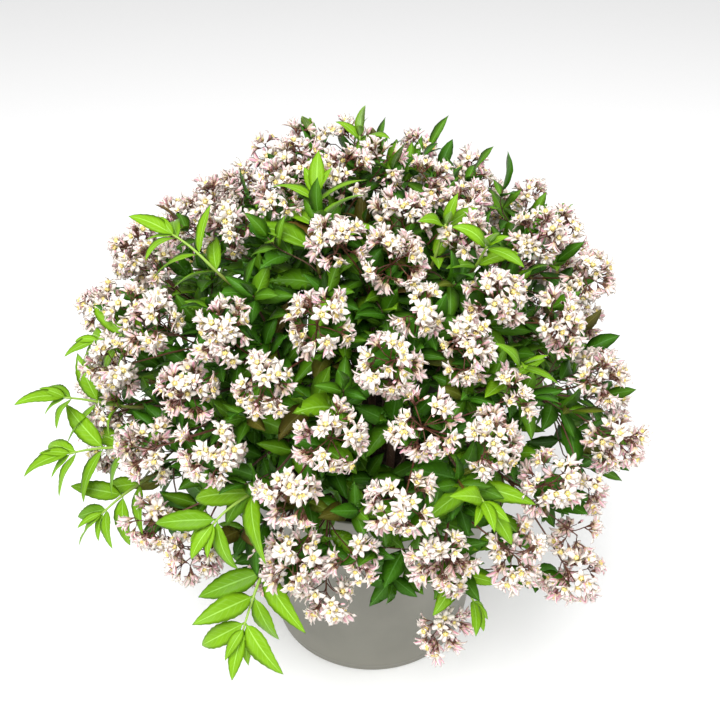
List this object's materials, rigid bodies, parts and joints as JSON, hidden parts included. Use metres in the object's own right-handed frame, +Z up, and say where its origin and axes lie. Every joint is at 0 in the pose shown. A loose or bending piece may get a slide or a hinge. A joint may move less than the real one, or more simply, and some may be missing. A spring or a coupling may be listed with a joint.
{
  "type": "potted flowering shrub",
  "caption": "Mounded deutzia shrub with starry blush-white flowers, dark leaves and bright green shoots in a plain round grey pot.",
  "frame": {"origin": "middle of the pot's underside, on the surface it stands on", "axes": "+Z up through the pot, -Y to the front, +X to the right seen from the front"},
  "size_m": [0.5036, 0.552, 0.5426],
  "materials": {
    "pot": "smooth matt moulded",
    "soil": "crumbly peat potting mix",
    "dark_foliage": "brown woody canes with dark green leaves",
    "petals": "soft matt petals",
    "young_foliage": "soft satin young leaves"
  },
  "bodies": {
    "root": {"pot": "pot", "soil": "soil", "cane_01": "dark_foliage", "cane_02": "dark_foliage", "cane_03": "dark_foliage", "cane_04": "dark_foliage", "cane_05": "dark_foliage", "cane_06": "dark_foliage", "cane_07": "dark_foliage", "cane_08": "dark_foliage", "cane_09": "dark_foliage", "cane_10": "dark_foliage", "truss_01": "petals", "truss_02": "petals", "truss_03": "petals", "truss_04": "petals", "truss_05": "petals", "truss_06": "petals", "truss_07": "petals", "truss_08": "petals", "truss_09": "petals", "truss_10": "petals", "truss_11": "petals", "truss_12": "petals", "truss_13": "petals", "truss_14": "petals", "truss_15": "petals", "truss_16": "petals", "truss_17": "petals", "truss_18": "petals", "truss_19": "petals", "truss_20": "petals", "truss_21": "petals", "truss_22": "petals", "truss_23": "petals", "truss_24": "petals", "truss_25": "petals", "truss_26": "petals", "truss_27": "petals", "truss_28": "petals", "truss_29": "petals", "truss_30": "petals", "shoot_01": "young_foliage", "shoot_02": "young_foliage", "shoot_03": "young_foliage", "shoot_04": "young_foliage", "shoot_05": "young_foliage", "shoot_06": "young_foliage", "shoot_07": "young_foliage", "shoot_08": "young_foliage", "shoot_09": "young_foliage", "shoot_10": "young_foliage", "shoot_11": "young_foliage", "shoot_12": "young_foliage", "shoot_13": "young_foliage", "shoot_14": "young_foliage", "shoot_15": "young_foliage", "shoot_16": "young_foliage", "shoot_17": "young_foliage", "shoot_18": "young_foliage"}
  },
  "joints": []
}
